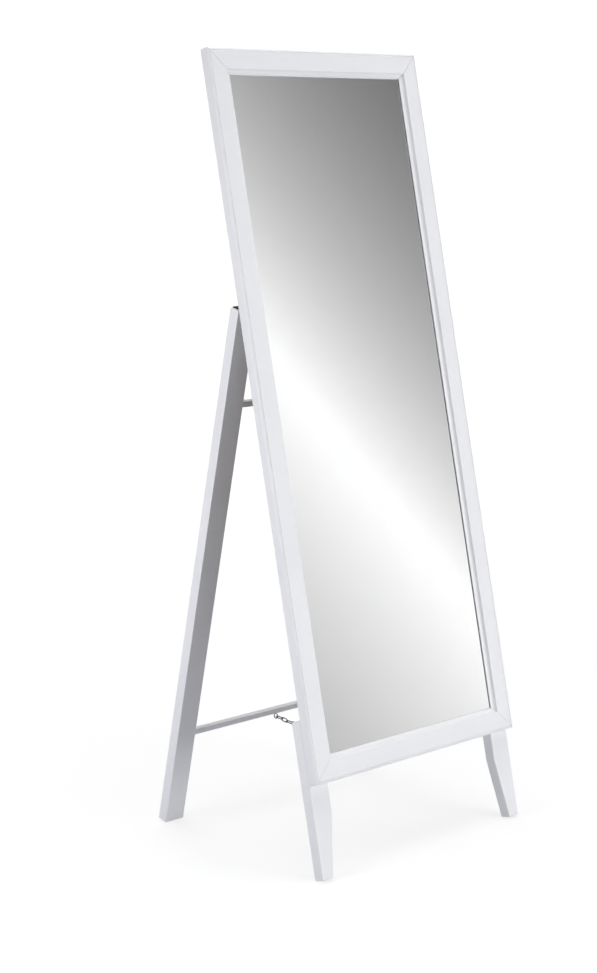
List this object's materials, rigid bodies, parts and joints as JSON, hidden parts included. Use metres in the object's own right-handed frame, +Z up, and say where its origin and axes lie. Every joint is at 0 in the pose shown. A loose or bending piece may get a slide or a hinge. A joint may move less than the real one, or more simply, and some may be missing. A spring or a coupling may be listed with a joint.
{
  "type": "leaning floor mirror",
  "caption": "Tall framed floor mirror that leans back on short tapered front legs, propped by a hinged rear support with rungs and a check chain.",
  "frame": {"origin": "on the floor, below the middle of the bounding box", "axes": "+X to the right seen from the front, +Y to the back, +Z up; the mirror faces -Y and leans back"},
  "size_m": [0.471, 0.415, 1.31],
  "materials": {
    "white_paint": "white satin lacquer on wood",
    "mirror": "silvered float glass",
    "hardboard": "brown pressed fibreboard",
    "beech": "plain beech dowel",
    "zinc_steel": "zinc plated",
    "dark_steel": "black oxide",
    "chain_steel": "dull aged steel"
  },
  "bodies": {
    "mirror_frame": {"left_stile": "white_paint", "right_stile": "white_paint", "top_rail": "white_paint", "bottom_rail": "white_paint", "left_front_leg": "white_paint", "right_front_leg": "white_paint", "mirror_glass": "mirror", "backing_board": "hardboard", "glazing_point_1": "zinc_steel", "glazing_point_2": "zinc_steel", "glazing_point_3": "zinc_steel", "glazing_point_4": "zinc_steel", "glazing_point_5": "zinc_steel", "glazing_point_6": "zinc_steel", "glazing_point_7": "zinc_steel", "glazing_point_8": "zinc_steel", "corner_nail_1": "zinc_steel", "corner_nail_2": "zinc_steel", "corner_nail_3": "zinc_steel", "corner_nail_4": "zinc_steel", "left_leg_screw_1": "zinc_steel", "left_leg_screw_2": "zinc_steel", "right_leg_screw_1": "zinc_steel", "right_leg_screw_2": "zinc_steel", "left_hinge_frame_leaf": "dark_steel", "right_hinge_frame_leaf": "dark_steel", "left_hinge_pin": "dark_steel", "right_hinge_pin": "dark_steel", "left_frame_leaf_screw_1": "dark_steel", "left_frame_leaf_screw_2": "dark_steel", "right_frame_leaf_screw_1": "dark_steel", "right_frame_leaf_screw_2": "dark_steel", "frame_screw_eye": "chain_steel"},
    "rear_support": {"left_rear_leg": "white_paint", "right_rear_leg": "white_paint", "lower_rung": "white_paint", "upper_rung": "white_paint", "left_lower_dowel": "beech", "left_upper_dowel": "beech", "right_lower_dowel": "beech", "right_upper_dowel": "beech", "left_hinge_leg_leaf": "dark_steel", "right_hinge_leg_leaf": "dark_steel", "left_leg_leaf_screw_1": "dark_steel", "left_leg_leaf_screw_2": "dark_steel", "right_leg_leaf_screw_1": "dark_steel", "right_leg_leaf_screw_2": "dark_steel", "rung_screw_eye": "chain_steel"},
    "chain_front": {"chain_front_half": "chain_steel"},
    "chain_rear": {"chain_rear_half": "chain_steel"}
  },
  "joints": [
    {"name": "rear_support_fold", "type": "hinge", "parent": "mirror_frame", "child": "rear_support", "pos_m": [0, -0.00783, 0.90219], "axis": [1, 0, 0], "range_deg": [-23, 0]},
    {"name": "chain_front_swing", "type": "hinge", "parent": "mirror_frame", "child": "chain_front", "pos_m": [-0.003, -0.16325, 0.1697], "axis": [1, 0, 0], "range_deg": [-81, 0]},
    {"name": "chain_rear_swing", "type": "hinge", "parent": "rear_support", "child": "chain_rear", "pos_m": [0.003, 0.16552, 0.14865], "axis": [1, 0, 0], "range_deg": [0, 113.2]}
  ],
  "couplings": [
    {"joint": "chain_front_swing", "follows": "rear_support_fold", "ratio": 3.5},
    {"joint": "chain_rear_swing", "follows": "rear_support_fold", "ratio": -4.9}
  ]
}
